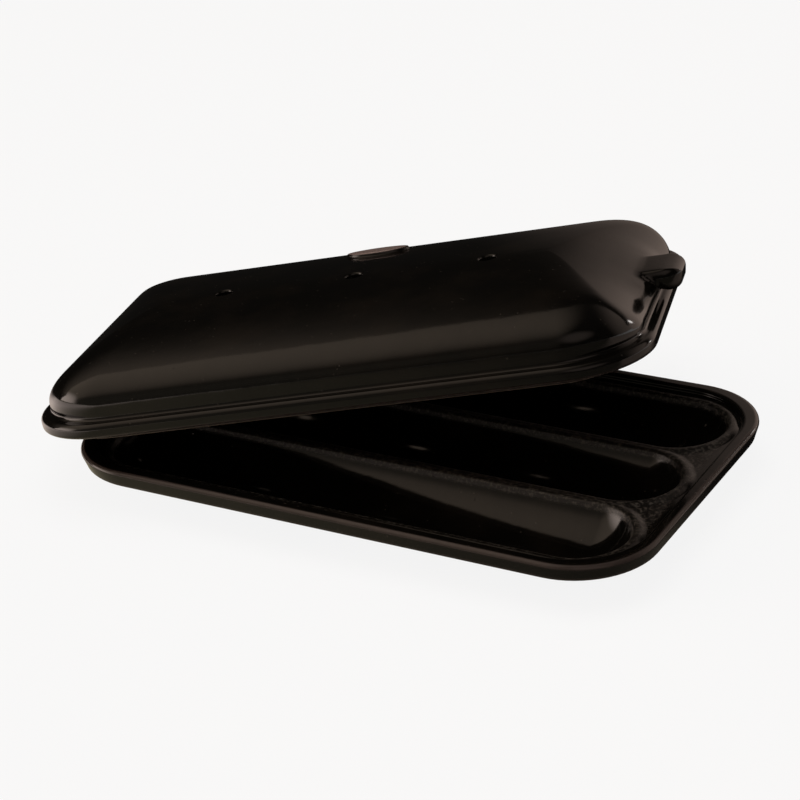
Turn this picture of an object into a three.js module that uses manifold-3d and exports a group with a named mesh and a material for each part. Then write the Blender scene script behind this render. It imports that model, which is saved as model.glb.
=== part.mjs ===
// Bread loaf baker in glazed stoneware: a shallow tray with three loaf troughs, and a loose domed lid
// with a hollow lug at one end, three steam vents along its crest and a plain oval pad on its back
// slope. The lid lies askew over the tray, with its locating lip touching the rim at one place.
// Millimetres, +Z up. The origin is on the standing plane under the middle of the tray, +X runs along
// the troughs and +Y to the back.
import * as THREE from 'three';
import { mergeVertices } from 'three/addons/utils/BufferGeometryUtils.js';
import Module from 'manifold-3d';

const wasm = await Module();
wasm.setup();

// Outline of the tray's rim and of the lid's flange, seen from above
const bakerLength = 390;
const bakerWidth = 240;
const cornerRadius = 50;
const stoneWall = 6;

// Tray: rim and deck
const rimWidth = 9;
const rimRise = 5;
const rimEdgeRound = 2.5;
const rimTaper = 1.8;
const skirtEdgeRound = 2;

// Tray: troughs
const troughCount = 3;
const troughPitch = 71;
const troughLength = 351;
const troughWidth = 63;
const troughDepth = 20;
const troughLipRound = 3;
const footTrim = 0.7;

// Lid: flange and locating lip
const flangeThickness = 9.5;
const flangeWidth = 6.5;
const flangeLowerRound = 3;
const flangeUpperRound = 3.8;
const flangeFillet = 2.5;
const lipClearance = 1;
const lipWidth = 4;
const lipDepth = 3.5;
const lipEdgeRound = 0.8;

// Lid: dome
const lidHeight = 47.6;
const crestLength = 248;
const crestFlat = 5;
const crestCorner = 20;
const sidePower = { spread: 1.3, rise: 3.7 };
const endPower = { spread: 1.8, rise: 1.7 };
const ringCrowding = 1.2;

// Lid: lug, vents and pad
const lugReach = 12;
const lugRoot = 32;
const lugWidth = 44;
const lugHeight = 12;
const lugCorner = 15;
const lugTopRound = 5;
const lugLowerRound = 1.2;
const lugWall = 5;
const lugLip = 18.6;
const lugDroop = 10;
const ventCount = 3;
const ventPitch = 87;
const ventDiameter = 11;
const padLength = 42;
const padWidth = 24;
const padRise = 2.5;
const padRound = 1.6;
const padFromCrest = 66;

// How the lid lies over the tray: turned about the upright, right end up, front edge up
const lidYaw = 18.3;
const lidTilt = 8.8;
const lidRoll = 6.7;
const lidShiftX = -50.6;
const lidShiftY = 33.7;
const restClearance = 0.3;

// Fineness of the facets
const cornerSteps = 8;
const arcSteps = 4;
const domeSteps = 12;
const troughSteps = 6;
const lugSteps = 5;
const ventSides = 20;
const padSides = 32;
const overcut = 2;
const restSampleGap = 0.2;
const rimHalvings = 12;

// Heights that follow from the sizes above
const troughRadius = ((troughWidth / 2) ** 2 + troughDepth ** 2) / (2 * troughDepth);
const troughFloor = stoneWall - footTrim;
const troughAxis = troughFloor + troughRadius;
const deckTop = troughFloor + troughDepth;
const rimTop = deckTop + rimRise;
const skirtBottom = deckTop - stoneWall;
const troughEndCentre = troughLength / 2 - troughWidth / 2;

const glaze = { color: 0x2a2420, roughness: 0.22, metalness: 0 };

// Points of a rounded rectangle, anticlockwise from its right side, with elliptic corners.
function roundedOutline(halfX, halfY, radiusX, radiusY, steps = cornerSteps) {
  const corners = [[1, 1, 0], [-1, 1, 1], [-1, -1, 2], [1, -1, 3]];
  const points = [];
  for (const [signX, signY, quarter] of corners) {
    for (let i = 0; i <= steps; i += 1) {
      const angle = (quarter + i / steps) * Math.PI / 2;
      const x = signX * (halfX - radiusX) + radiusX * Math.cos(angle);
      const y = signY * (halfY - radiusY) + radiusY * Math.sin(angle);
      points.push(new THREE.Vector2(x, y));
    }
  }
  return points;
}

// The baker's outline drawn in to the given half length and half width.
function bakerOutline(halfX, halfY, corner = cornerRadius) {
  const radiusX = corner * halfX / (bakerLength / 2);
  const radiusY = corner * halfY / (bakerWidth / 2);
  return roundedOutline(halfX, halfY, radiusX, radiusY);
}

// A closed skin over a stack of outlines with equal counts of points, capped at both ends.
function loft(rings) {
  const count = rings[0].outline.length;
  const positions = [];
  for (const { outline, z } of rings) {
    for (const point of outline) positions.push(point.x, point.y, z);
  }
  const index = [];
  for (let level = 0; level + 1 < rings.length; level += 1) {
    for (let i = 0; i < count; i += 1) {
      const a = level * count + i;
      const b = level * count + (i + 1) % count;
      index.push(a, b, b + count, a, b + count, a + count);
    }
  }
  for (const [level, turned] of [[0, true], [rings.length - 1, false]]) {
    const { outline, z } = rings[level];
    const middle = outline.reduce((sum, point) => sum.add(point), new THREE.Vector2());
    const centre = positions.length / 3;
    positions.push(middle.x / count, middle.y / count, z);
    for (let i = 0; i < count; i += 1) {
      const a = level * count + i;
      const b = level * count + (i + 1) % count;
      index.push(centre, turned ? b : a, turned ? a : b);
    }
  }
  const geometry = new THREE.BufferGeometry();
  geometry.setAttribute('position', new THREE.Float32BufferAttribute(positions, 3));
  geometry.setIndex(index);
  return geometry;
}

// Stations along a quarter turn, from one inset and height to the other, bulging out or hollow.
function quarterTurn(from, to, hollow = false) {
  const stations = [];
  for (let i = 1; i <= arcSteps; i += 1) {
    const angle = i / arcSteps * Math.PI / 2;
    const first = Math.sin(angle);
    const last = 1 - Math.cos(angle);
    stations.push({
      inset: THREE.MathUtils.lerp(from.inset, to.inset, hollow ? first : last),
      z: THREE.MathUtils.lerp(from.z, to.z, hollow ? last : first),
    });
  }
  return stations;
}

const station = (inset, z) => ({ inset, z });

const insetRing = ({ inset, z }) => ({
  outline: bakerOutline(bakerLength / 2 - inset, bakerWidth / 2 - inset),
  z,
});

function solid(geometry) {
  const bare = geometry.clone();
  bare.deleteAttribute('normal');
  bare.deleteAttribute('uv');
  const merged = mergeVertices(bare);
  return new wasm.Manifold(new wasm.Mesh({
    numProp: 3,
    vertProperties: new Float32Array(merged.attributes.position.array),
    triVerts: new Uint32Array(merged.index.array),
  }));
}

function namedMesh(name, body) {
  const { vertProperties, triVerts } = body.getMesh();
  const geometry = new THREE.BufferGeometry();
  geometry.setAttribute('position', new THREE.BufferAttribute(vertProperties, 3));
  geometry.setIndex(new THREE.BufferAttribute(triVerts, 1));
  geometry.computeVertexNormals();
  const mesh = new THREE.Mesh(geometry, new THREE.MeshStandardMaterial(glaze));
  mesh.name = name;
  return mesh;
}

// Even places about a middle, a pitch apart.
const spread = (count, pitch) => Array.from({ length: count }, (_, i) => (i - (count - 1) / 2) * pitch);

// Tray: a dish with a rounded rim, joined to three round-bottomed trough shells.
function trayDish() {
  const skirt = station(rimTaper + skirtEdgeRound, skirtBottom);
  const skirtWall = station(rimTaper, skirtBottom + skirtEdgeRound);
  const rimOuter = station(0, rimTop - rimEdgeRound);
  const rimOuterTop = station(rimEdgeRound, rimTop);
  const rimInnerTop = station(rimWidth - rimEdgeRound, rimTop);
  const rimInner = station(rimWidth, rimTop - rimEdgeRound);
  const deckEdge = station(rimWidth + rimRise - rimEdgeRound, deckTop);
  const stations = [
    skirt, ...quarterTurn(skirt, skirtWall, true),
    rimOuter, ...quarterTurn(rimOuter, rimOuterTop),
    rimInnerTop, ...quarterTurn(rimInnerTop, rimInner, true),
    ...quarterTurn(rimInner, deckEdge),
  ];
  return loft(stations.map(insetRing));
}

const troughRing = (radius, z, y) => ({
  outline: roundedOutline(troughEndCentre + radius, radius, radius, radius)
    .map((point) => point.add(new THREE.Vector2(0, y))),
  z,
});

const arcHalfWidth = (radius, z) => Math.sqrt(radius ** 2 - (troughAxis - z) ** 2);

function troughShell(y) {
  const top = deckTop - stoneWall / 2;
  const radius = troughRadius + stoneWall;
  const lowest = Math.acos(troughAxis / radius);
  const highest = Math.acos((troughAxis - top) / radius);
  const rings = [];
  for (let i = 0; i <= troughSteps; i += 1) {
    const angle = THREE.MathUtils.lerp(lowest, highest, i / troughSteps);
    rings.push(troughRing(radius * Math.sin(angle), troughAxis - radius * Math.cos(angle), y));
  }
  return loft(rings);
}

function troughHollow(y) {
  const steep = Math.asin(troughWidth / 2 / troughRadius);
  const lipStart = deckTop - troughLipRound * (1 - Math.cos(steep));
  const lipRadius = arcHalfWidth(troughRadius, lipStart);
  const lipSlope = Math.acos((troughAxis - lipStart) / troughRadius);
  const rings = [];
  for (let i = 0; i <= troughSteps; i += 1) {
    const angle = THREE.MathUtils.lerp(lipSlope / (2 * troughSteps), lipSlope, i / troughSteps);
    rings.push(troughRing(troughRadius * Math.sin(angle), troughAxis - troughRadius * Math.cos(angle), y));
  }
  for (let i = 1; i <= arcSteps; i += 1) {
    const slope = lipSlope * (1 - i / arcSteps);
    const radius = lipRadius + troughLipRound * (Math.sin(lipSlope) - Math.sin(slope));
    const z = deckTop - troughLipRound * (1 - Math.cos(slope));
    rings.push(troughRing(radius, z, y));
  }
  const mouth = lipRadius + troughLipRound * Math.sin(lipSlope);
  rings.push(troughRing(mouth, deckTop + overcut, y));
  return loft(rings);
}

function tray() {
  const places = spread(troughCount, troughPitch);
  let body = solid(trayDish());
  for (const y of places) body = body.add(solid(troughShell(y)));
  for (const y of places) body = body.subtract(solid(troughHollow(y)));
  return namedMesh('tray', body);
}

// Lid, in its own frame: its seat on the tray's rim is z = 0.
const lipInset = rimWidth + lipClearance;
const hollowInset = lipInset + lipWidth;
const domeFoot = flangeThickness + flangeFillet;

// Rings of the dome between its foot and its crest, rounding over at the shoulder and the crest.
function domeRings(inset, top, crestHalf) {
  const footX = bakerLength / 2 - inset;
  const footY = bakerWidth / 2 - inset;
  const rings = [];
  for (let i = 0; i <= domeSteps; i += 1) {
    const share = Math.sin(i / domeSteps * Math.PI / 2) ** ringCrowding;
    const out = ({ spread: power, rise }) => (1 - share ** rise) ** (1 / power);
    const halfX = THREE.MathUtils.lerp(crestHalf, footX, out(endPower));
    const halfY = THREE.MathUtils.lerp(crestFlat / 2, footY, out(sidePower));
    const corner = THREE.MathUtils.lerp(cornerRadius, crestCorner, share);
    const z = THREE.MathUtils.lerp(domeFoot, top, share);
    rings.push({ outline: bakerOutline(halfX, halfY, corner), z });
  }
  return rings;
}

function lidOutside() {
  const lipBottom = station(lipInset + lipEdgeRound, -lipDepth);
  const lipWall = station(lipInset, lipEdgeRound - lipDepth);
  const flangeUnder = station(flangeLowerRound, 0);
  const flangeOuter = station(0, flangeLowerRound);
  const flangeShoulder = station(0, flangeThickness - flangeUpperRound);
  const flangeTop = station(flangeUpperRound, flangeThickness);
  const filletStart = station(flangeWidth - flangeFillet, flangeThickness);
  const wallFoot = station(flangeWidth, domeFoot);
  const stations = [
    lipBottom, lipWall, station(lipInset, 0),
    flangeUnder, ...quarterTurn(flangeUnder, flangeOuter, true),
    flangeShoulder, ...quarterTurn(flangeShoulder, flangeTop),
    filletStart, ...quarterTurn(filletStart, wallFoot, true),
  ];
  const dome = domeRings(flangeWidth, lidHeight, crestLength / 2);
  return loft([...stations.map(insetRing), ...dome.slice(1)]);
}

function lidHollow() {
  const mouth = insetRing(station(hollowInset, -lipDepth - overcut));
  return loft([mouth, ...domeRings(hollowInset, lidHeight - stoneWall, crestLength / 2)]);
}

// The lug is a rounded tab with its edges turned down round a finger hollow.
function lugTab(halfX, halfY, corner, stations) {
  return loft(stations.map(({ inset, z }) => ({
    outline: roundedOutline(halfX - inset, halfY - inset, corner - inset, corner - inset, lugSteps),
    z,
  })));
}

function lug() {
  const halfX = (lugReach + lugRoot) / 2;
  const halfY = lugWidth / 2;
  const lower = station(lugLowerRound, 0);
  const lowerEdge = station(0, lugLowerRound);
  const upperEdge = station(0, lugHeight - lugTopRound);
  const upper = station(lugTopRound, lugHeight);
  const outside = lugTab(halfX, halfY, lugCorner, [
    lower, lowerEdge, upperEdge, ...quarterTurn(upperEdge, upper),
  ]);
  const ceiling = station(lugTopRound, lugHeight - lugWall);
  const ceilingEdge = station(0, lugHeight - lugWall - lugTopRound);
  const hollow = lugTab(halfX - lugWall, halfY - lugWall, lugCorner - lugWall / 2, [
    station(0, -overcut), ceilingEdge, ...quarterTurn(ceilingEdge, ceiling),
  ]);
  const place = new THREE.Matrix4()
    .makeTranslation(bakerLength / 2 + lugReach - halfX, 0, lugLip)
    .multiply(new THREE.Matrix4().makeRotationY(THREE.MathUtils.degToRad(lugDroop)));
  return solid(outside.applyMatrix4(place)).subtract(solid(hollow.applyMatrix4(place)));
}

// Height of the dome's outside at a distance from the crest, at the lid's middle.
function domeHeight(y) {
  const out = (y - crestFlat / 2) / (bakerWidth / 2 - flangeWidth - crestFlat / 2);
  const share = (1 - out ** sidePower.spread) ** (1 / sidePower.rise);
  return THREE.MathUtils.lerp(domeFoot, lidHeight, share);
}

// The pad lies along the slope between the two heights at its front and back edges.
function slopePad() {
  const front = domeHeight(padFromCrest - padWidth / 2);
  const back = domeHeight(padFromCrest + padWidth / 2);
  const root = station(0, -stoneWall / 2);
  const edge = station(0, padRise - padRound);
  const top = station(padRound, padRise);
  const stations = [root, edge, ...quarterTurn(edge, top)];
  const pad = loft(stations.map(({ inset, z }) => {
    const halfX = padLength / 2 - inset;
    const halfY = padWidth / 2 - inset;
    return { outline: roundedOutline(halfX, halfY, halfX, halfY, padSides / 4), z };
  }));
  pad.rotateX(Math.atan2(back - front, padWidth));
  pad.translate(0, padFromCrest, (front + back) / 2);
  return pad;
}

function vent(x) {
  const hole = new THREE.CylinderGeometry(ventDiameter / 2, ventDiameter / 2, lidHeight, ventSides);
  hole.rotateX(Math.PI / 2);
  hole.translate(x, 0, domeFoot + lidHeight / 2);
  return solid(hole);
}

function lid() {
  let body = solid(lidOutside()).add(lug()).add(solid(slopePad())).subtract(solid(lidHollow()));
  for (const x of spread(ventCount, ventPitch)) body = body.subtract(vent(x));
  return namedMesh('lid', body);
}

// True where a point seen from above lies within the baker's outline drawn in by an inset.
function withinOutline(x, y, inset) {
  const halfX = bakerLength / 2 - inset;
  const halfY = bakerWidth / 2 - inset;
  const acrossX = Math.abs(x) / halfX * bakerLength / 2;
  const acrossY = Math.abs(y) / halfY * bakerWidth / 2;
  const cornerX = acrossX - (bakerLength / 2 - cornerRadius);
  const cornerY = acrossY - (bakerWidth / 2 - cornerRadius);
  if (cornerX > 0 && cornerY > 0) return Math.hypot(cornerX, cornerY) <= cornerRadius;
  return acrossX <= bakerLength / 2 && acrossY <= bakerWidth / 2;
}

// Height of the tray's rim under a point seen from above, or none where the point is off the rim.
function rimHeight(x, y) {
  if (!withinOutline(x, y, 0) || withinOutline(x, y, rimWidth)) return null;
  let outer = 0;
  let inner = rimWidth;
  for (let i = 0; i < rimHalvings; i += 1) {
    const middle = (outer + inner) / 2;
    if (withinOutline(x, y, middle)) outer = middle;
    else inner = middle;
  }
  const fromEdge = Math.min(outer, rimWidth - outer, rimEdgeRound);
  return rimTop - rimEdgeRound + Math.sqrt(rimEdgeRound ** 2 - (rimEdgeRound - fromEdge) ** 2);
}

// Height of the lid's seat at which its underside clears the rim by the rest clearance.
function restHeight(turn) {
  const edges = [
    station(lipInset, lipEdgeRound - lipDepth),
    station(lipInset + lipEdgeRound, -lipDepth),
    station(hollowInset, -lipDepth),
    station(flangeLowerRound, 0),
  ];
  let height = 0;
  for (const { inset, z } of edges) {
    const outline = bakerOutline(bakerLength / 2 - inset, bakerWidth / 2 - inset);
    outline.forEach((start, i) => {
      const end = outline[(i + 1) % outline.length];
      const samples = Math.ceil(start.distanceTo(end) / restSampleGap) + 1;
      for (let k = 0; k < samples; k += 1) {
        const place = start.clone().lerp(end, k / samples);
        const point = new THREE.Vector3(place.x, place.y, z).applyEuler(turn);
        const rim = rimHeight(point.x + lidShiftX, point.y + lidShiftY);
        if (rim !== null) height = Math.max(height, rim + restClearance - point.z);
      }
    });
  }
  return height;
}

const { degToRad } = THREE.MathUtils;
const lidPlace = new THREE.Group();
lidPlace.rotation.set(degToRad(-lidRoll), degToRad(-lidTilt), degToRad(lidYaw), 'ZYX');
lidPlace.position.set(lidShiftX, lidShiftY, restHeight(lidPlace.rotation));
lidPlace.add(lid());

const baker = new THREE.Group();
baker.add(tray(), lidPlace);

export default baker;
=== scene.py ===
"""Dresses the bread baker: smooth glazed stoneware for its tray and its lid, and a pale studio."""

import math

import bmesh
import bpy
from bpy.props import FloatProperty, FloatVectorProperty, IntProperty, PointerProperty
from mathutils import Matrix, Vector


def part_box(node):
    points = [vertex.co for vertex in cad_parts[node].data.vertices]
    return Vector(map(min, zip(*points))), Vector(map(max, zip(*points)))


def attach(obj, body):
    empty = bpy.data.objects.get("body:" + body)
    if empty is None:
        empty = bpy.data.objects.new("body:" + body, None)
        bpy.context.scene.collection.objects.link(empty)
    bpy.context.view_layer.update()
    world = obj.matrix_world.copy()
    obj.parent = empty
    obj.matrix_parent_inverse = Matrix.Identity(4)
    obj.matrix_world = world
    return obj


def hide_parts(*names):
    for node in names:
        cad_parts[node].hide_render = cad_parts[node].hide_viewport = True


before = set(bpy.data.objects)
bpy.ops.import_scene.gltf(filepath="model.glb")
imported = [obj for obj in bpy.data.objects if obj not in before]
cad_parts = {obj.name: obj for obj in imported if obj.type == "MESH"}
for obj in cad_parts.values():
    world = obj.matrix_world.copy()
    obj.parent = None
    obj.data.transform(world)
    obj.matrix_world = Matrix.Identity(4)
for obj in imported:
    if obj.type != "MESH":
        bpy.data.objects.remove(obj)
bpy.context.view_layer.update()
TRAY_LOW, TRAY_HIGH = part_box("tray")

bl_info = {
    "name": "Bread baker",
    "version": (1, 0, 0),
    "blender": (4, 5, 0),
    "location": "View3D > Sidebar > Baker",
    "description": "Models a glazed stoneware bread baker with a trough tray and a domed lid",
    "category": "Add Mesh",
}

MERGE_GAP = 1e-5  # points closer than this become one
LEVEL_GAP = 1e-6  # points this close in height are level
SMOOTH_ANGLE = math.radians(38)  # edges sharper than this stay sharp
CAMERA_RANGE = 100  # metres that the camera sees


def kind_of(property_type, **settings):
    """A short way to declare properties of one kind, which a user may change."""

    def declare(name, description, default, **limits):
        return property_type(name=name, description=description, default=default, **settings, **limits)

    return declare


size = kind_of(FloatProperty, unit="LENGTH", precision=4)
power = kind_of(FloatProperty, min=1)
number = kind_of(IntProperty)
location = kind_of(FloatVectorProperty, subtype="XYZ", unit="LENGTH")
tint = kind_of(FloatVectorProperty, subtype="COLOR", min=0, max=1)
radians = kind_of(FloatProperty, subtype="ANGLE")
focal = kind_of(FloatProperty, unit="CAMERA")


def turn(name, description, degrees):
    """An angle that a user may change."""
    return radians(name, description, math.radians(degrees))


class BakerOutline(bpy.types.PropertyGroup):
    """The outline that the tray's rim and the lid's flange share, seen from above."""

    length: size("Length", "Along the troughs", TRAY_HIGH.x - TRAY_LOW.x)
    width: size("Width", "Across the troughs", TRAY_HIGH.y - TRAY_LOW.y)
    corner: size("Corner", "Radius of the outline's corners", 0.050)
    wall: size("Wall", "Thickness of the stoneware", 0.006)
    edge_gap: size("Edge gap", "Spacing of points along the straight sides", 0.004)
    corner_steps: number("Corner steps", "Points round each corner", 16, min=4)


class TraySizes(bpy.types.PropertyGroup):
    """Rim, deck and troughs of the tray."""

    rim_width: size("Rim width", "Flat and rounded edges together", 0.009)
    rim_rise: size("Rim rise", "Rim above the deck", 0.005)
    rim_round: size("Rim rounding", "Radius of the rim's edges", 0.0025)
    rim_taper: size("Rim taper", "How far the skirt draws in below the rim", 0.0018)
    skirt_round: size("Skirt rounding", "Radius of the skirt's lower edge", 0.002)
    trough_pitch: size("Trough pitch", "Between the middles of two troughs", 0.071)
    trough_length: size("Trough length", "Of each mouth", 0.351)
    trough_width: size("Trough width", "Of each mouth", 0.063)
    trough_depth: size("Trough depth", "Below the deck", 0.020)
    lip_round: size("Lip rounding", "Radius of the trough's edge", 0.003)
    lip_rise: size("Lip rise", "Trough's edge above the deck", 0.0014)
    lip_spread: size("Lip spread", "Width of the slope outside the trough's edge", 0.006)
    foot_trim: size("Foot trim", "Stone taken off under each trough for its flat foot", 0.0007)
    trough_count: number("Troughs", "How many troughs", 3, min=1)
    round_points: number("Round points", "Points round a trough's two ends", 72, min=16)


class LidSizes(bpy.types.PropertyGroup):
    """Flange, dome, lug, vents and pad of the lid, and how it lies."""

    flange_thickness: size("Flange thickness", "Height of the bead", 0.0095)
    flange_width: size("Flange width", "How far the bead stands out from the wall", 0.0065)
    flange_lower_round: size("Flange lower rounding", "Radius of the bead's lower edge", 0.003)
    flange_upper_round: size("Flange upper rounding", "Radius of the bead's upper edge", 0.0038)
    flange_fillet: size("Flange fillet", "Radius between bead and wall", 0.0025)
    lip_clearance: size("Lip clearance", "Between the locating lip and the rim", 0.001)
    lip_width: size("Lip width", "Of the locating lip", 0.004)
    lip_depth: size("Lip depth", "Of the locating lip below the seat", 0.0035)
    lip_round: size("Lip rounding", "Of the locating lip's lower edge", 0.0008)
    height: size("Height", "Crest above the seat", 0.0476)
    crest_length: size("Crest length", "Of the level crest line", 0.248)
    crest_flat: size("Crest flat", "Width of the level crest", 0.005)
    crest_corner: size("Crest corner", "Corner of the dome's outline at the crest", 0.020)
    side_spread: power("Side spread", "Lower is a flatter side slope", 1.3)
    side_rise: power("Side rise", "Higher is a squarer side shoulder", 3.7)
    end_spread: power("End spread", "Lower is a flatter end slope", 1.8)
    end_rise: power("End rise", "Higher is a squarer end shoulder", 1.7)
    vent_pitch: size("Vent pitch", "Between two vents", 0.087)
    vent_width: size("Vent width", "Diameter of a vent", 0.011)
    vent_flare: size("Vent flare", "Rounding of a vent's mouth", 0.0016)
    pad_length: size("Pad length", "Of the plain oval pad", 0.042)
    pad_width: size("Pad width", "Of the plain oval pad", 0.024)
    pad_rise: size("Pad rise", "Of the plain oval pad above the slope", 0.0025)
    pad_place: size("Pad place", "Of the pad's middle behind the crest", 0.066)
    lug_reach: size("Lug reach", "Of the lug past the flange", 0.012)
    lug_root: size("Lug root", "Of the lug inside the flange's edge", 0.033)
    lug_width: size("Lug width", "Of the finger lug", 0.038)
    lug_height: size("Lug height", "Of the finger lug's side", 0.0135)
    lug_level: size("Lug level", "Height of the lug's middle over the flange's edge", 0.0238)
    lug_wall: size("Lug wall", "Thickness round the finger hollow", 0.0045)
    lug_droop: turn("Lug droop", "Downward slope of the lug", 10)
    swell: size("Swelling", "How far the end slope fills out round the lug", 0.0075)
    swell_reach: size("Swelling reach", "Half width of the filled-out slope", 0.052)
    yaw: turn("Yaw", "Turn about the upright", 18.3)
    tilt: turn("Tilt", "Right end up", 8.8)
    roll: turn("Roll", "Front edge up", 6.7)
    place: location("Place", "Middle of the lid's seat", (-0.0506, 0.0337, 0.06249))
    vent_count: number("Vents", "How many steam vents", 3, min=1)


class GlazeColours(bpy.types.PropertyGroup):
    """Colours of the fired stoneware."""

    glaze: tint("Glaze", "Thick dark glaze", (0.0024, 0.0021, 0.0016))
    brown: tint("Brown glaze", "Where the glaze runs thinner", (0.0062, 0.0047, 0.0033))
    thin: tint("Thin glaze", "Where the glaze breaks over an edge", (0.046, 0.035, 0.031))
    speck: tint("Specks", "Small mineral specks in the glaze", (0.07, 0.06, 0.05))
    clay: tint("Bare clay", "Unglazed foot strips", (0.30, 0.22, 0.155))
    # The pad is painted this pale colour, lighter than the dark glaze round it
    pale: tint("Pale glaze", "Thin glaze on the pad", (0.32, 0.245, 0.225))


class StudioSetup(bpy.types.PropertyGroup):
    """Camera and floor."""

    azimuth: turn("Azimuth", "Camera's turn about the upright, from the front", 31.01)
    elevation: turn("Elevation", "Camera above the horizon", 26.64)
    roll: turn("Roll", "Camera's turn about its own line of sight", -4.49)
    distance: size("Distance", "Camera to the point it looks at", 1.6063)
    target: location("Target", "Point that the camera looks at", (-0.02818, 0.02953, 0.0303))
    lens: focal("Lens", "Focal length in millimetres", 113.886)
    floor_reach: size("Floor reach", "Radius of the floor", 60.0)
    floor: tint("Floor", "Colour of the floor", (0.86, 0.86, 0.86))


def select_none():
    """Leaves edit mode with nothing selected."""
    if bpy.context.mode != "OBJECT":
        bpy.ops.object.mode_set(mode="OBJECT")
    bpy.ops.object.select_all(action="DESELECT")


def add(operator, name, **settings):
    """Adds an object with one of Blender's operators, and names it."""
    select_none()
    operator(**settings)
    piece = bpy.context.object
    piece.name = name
    return piece


def only(piece):
    """Selects one piece and makes it the active one."""
    select_none()
    piece.select_set(True)
    bpy.context.view_layer.objects.active = piece


def select_points(piece, test):
    """In edit mode, selects the points of a piece that pass a test on their place."""
    mesh = bmesh.from_edit_mesh(piece.data)
    mesh.select_mode = {"VERT"}
    for point in mesh.verts:
        point.select_set(test(point.co))
    mesh.select_flush_mode()
    bmesh.update_edit_mesh(piece.data)


def split_long_edges(piece, gap):
    """In edit mode, divides every edge that is longer than twice the gap."""
    digits, alike = 5, gap / 10
    bpy.ops.mesh.select_mode(type="EDGE")
    lengths = sorted({round(edge.calc_length(), digits) for edge in bmesh.from_edit_mesh(piece.data).edges})
    for length in lengths:
        if length < 2 * gap:
            continue
        mesh = bmesh.from_edit_mesh(piece.data)
        for edge in mesh.edges:
            edge.select_set(abs(edge.calc_length() - length) < alike)
        bmesh.update_edit_mesh(piece.data)
        bpy.ops.mesh.subdivide(number_cuts=round(length / gap) - 1)


def rounded_ring(name, halves, height, corner, corner_steps, gap=None):
    """Starts a piece as one closed edge: a rectangle with rounded corners, divided where a gap is given."""
    piece = add(bpy.ops.mesh.primitive_plane_add, name, size=2)
    bpy.ops.object.mode_set(mode="EDIT")
    bpy.ops.transform.resize(value=(*halves, 1), center_override=(0, 0, 0))
    bpy.ops.transform.translate(value=(0, 0, height))
    bpy.ops.mesh.bevel(offset=corner, segments=corner_steps, affect="VERTICES")
    bpy.ops.mesh.delete(type="ONLY_FACE")
    if gap:
        split_long_edges(piece, gap)
    bpy.ops.mesh.select_all(action="SELECT")
    return piece


def round_ring(name, radius, height, points):
    """Starts a piece as one closed round edge, with no point on the line x = 0."""
    piece = add(bpy.ops.mesh.primitive_circle_add, name, vertices=points, radius=radius)
    bpy.ops.object.mode_set(mode="EDIT")
    bpy.ops.transform.rotate(value=math.pi / points, orient_axis="Z", center_override=(0, 0, 0))
    bpy.ops.transform.translate(value=(0, 0, height))
    return piece


def draw_rings(start, stations):
    """In edit mode, extrudes the selected edge through stations of half length, half width and height."""
    last_x, last_y, last_z = start
    for half_x, half_y, height in stations:
        bpy.ops.mesh.extrude_edges_move(TRANSFORM_OT_translate={"value": (0, 0, height - last_z)})
        stretch = (half_x / last_x, half_y / last_y, 1)
        bpy.ops.transform.resize(value=stretch, center_override=(0, 0, height))
        last_x, last_y, last_z = half_x, half_y, height


def cap(piece, height):
    """In edit mode, closes the ring of points at a height with one face."""
    select_points(piece, lambda place: abs(place.z - height) < LEVEL_GAP)
    bpy.ops.mesh.edge_face_add()


def close_solid():
    """Merges doubled points, turns all faces outwards and leaves edit mode."""
    bpy.ops.mesh.select_mode(type="VERT")
    bpy.ops.mesh.select_all(action="SELECT")
    bpy.ops.mesh.remove_doubles(threshold=MERGE_GAP)
    bpy.ops.mesh.normals_make_consistent(inside=False)
    bpy.ops.object.mode_set(mode="OBJECT")


def draw_solid(piece, rings):
    """In edit mode, draws the selected edge through stations and closes both ends into a solid."""
    draw_rings(rings[0], rings[1:])
    cap(piece, rings[0][2])
    cap(piece, rings[-1][2])
    close_solid()


def baker_body(name, outline, rings):
    """Starts a piece as the baker's outline, fits it to the first station and draws it through the others."""
    full = (outline.length / 2, outline.width / 2)
    half_x, half_y, height = rings[0]
    piece = rounded_ring(name, full, height, outline.corner, outline.corner_steps, outline.edge_gap)
    bpy.ops.transform.resize(value=(half_x / full[0], half_y / full[1], 1), center_override=(0, 0, 0))
    draw_rings(rings[0], rings[1:])
    return piece


def quarter(start, end, across_first):
    """Stations of inset and height along a quarter turn between two of them."""
    steps = 7
    stations = []
    for step in range(1, steps + 1):
        angle = step / steps * math.pi / 2
        rising, falling = math.sin(angle), 1 - math.cos(angle)
        across, up = (rising, falling) if across_first else (falling, rising)
        stations.append((start[0] + (end[0] - start[0]) * across, start[1] + (end[1] - start[1]) * up))
    return stations


def inset_rings(half_x, half_y, stations):
    """Stations of half length, half width and height, drawn in by insets."""
    return [(half_x - inset, half_y - inset, height) for inset, height in stations]


def copy_at(piece, offset):
    """A copy of a piece, with its own mesh, moved by an offset."""
    only(piece)
    bpy.ops.object.duplicate(linked=False)
    twin = bpy.context.object
    bpy.ops.transform.translate(value=offset)
    bpy.ops.object.transform_apply(location=True, rotation=False, scale=False)
    return twin


def combine(piece, tool, operation):
    """Joins a tool to a piece or cuts it away, and deletes the tool."""
    only(piece)
    joint = piece.modifiers.new("combine", "BOOLEAN")
    joint.object = tool
    joint.operation = operation
    joint.solver = "EXACT"
    bpy.ops.object.modifier_apply(modifier=joint.name)
    if not piece.data.polygons:
        raise RuntimeError(f"nothing is left of {piece.name} after {operation} with {tool.name}")
    bpy.data.meshes.remove(tool.data)


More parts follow.
